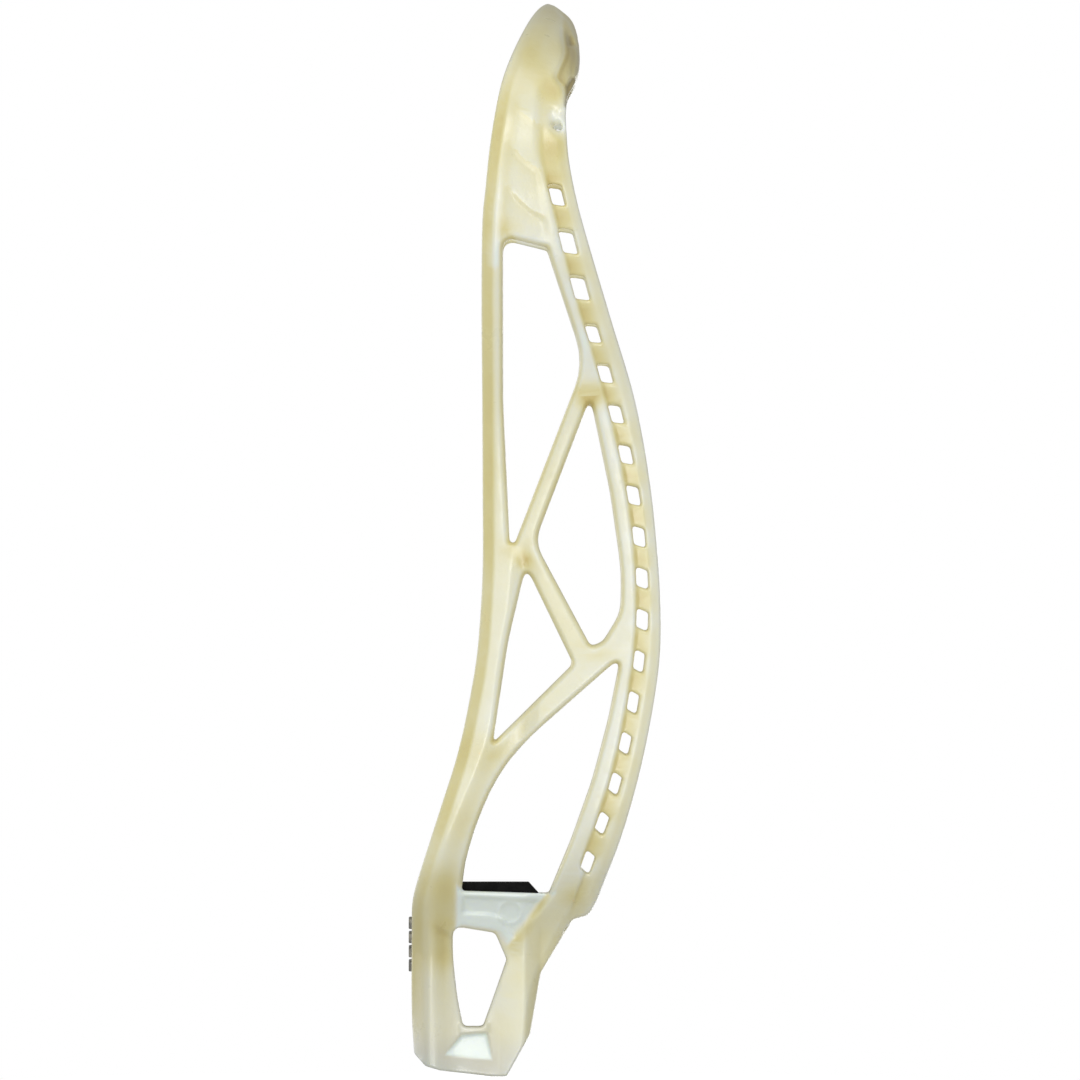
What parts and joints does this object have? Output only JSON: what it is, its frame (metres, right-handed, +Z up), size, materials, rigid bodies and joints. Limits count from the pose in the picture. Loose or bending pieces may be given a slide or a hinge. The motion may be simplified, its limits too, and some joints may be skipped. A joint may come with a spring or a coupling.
{
  "type": "lacrosse head",
  "caption": "Unstrung field lacrosse head: moulded nylon frame with truss sidewalls and string holes, foam ball stop, and a screw that holds a shaft.",
  "frame": {"origin": "middle of the shaft socket's mouth, on the shaft's axis", "axes": "+Z up the shaft's axis towards the scoop, -X the face that takes the ball, +X the back that carries the strings, Y across the head, which is the same on both sides of Y = 0"},
  "size_m": [0.0725, 0.167, 0.311],
  "materials": {
    "nylon": "undyed moulded nylon, cream and slightly translucent, satin gloss",
    "foam": "black closed-cell EVA foam, matt",
    "steel": "zinc-plated steel"
  },
  "bodies": {
    "head": {"head_frame": "nylon", "ball_stop_foam": "foam"},
    "screw": {"shaft_screw": "steel"}
  },
  "joints": [
    {"name": "screw_out", "type": "slide", "parent": "head", "child": "screw", "axis": [1, 0, 0], "range_m": [0, 0.018]}
  ]
}
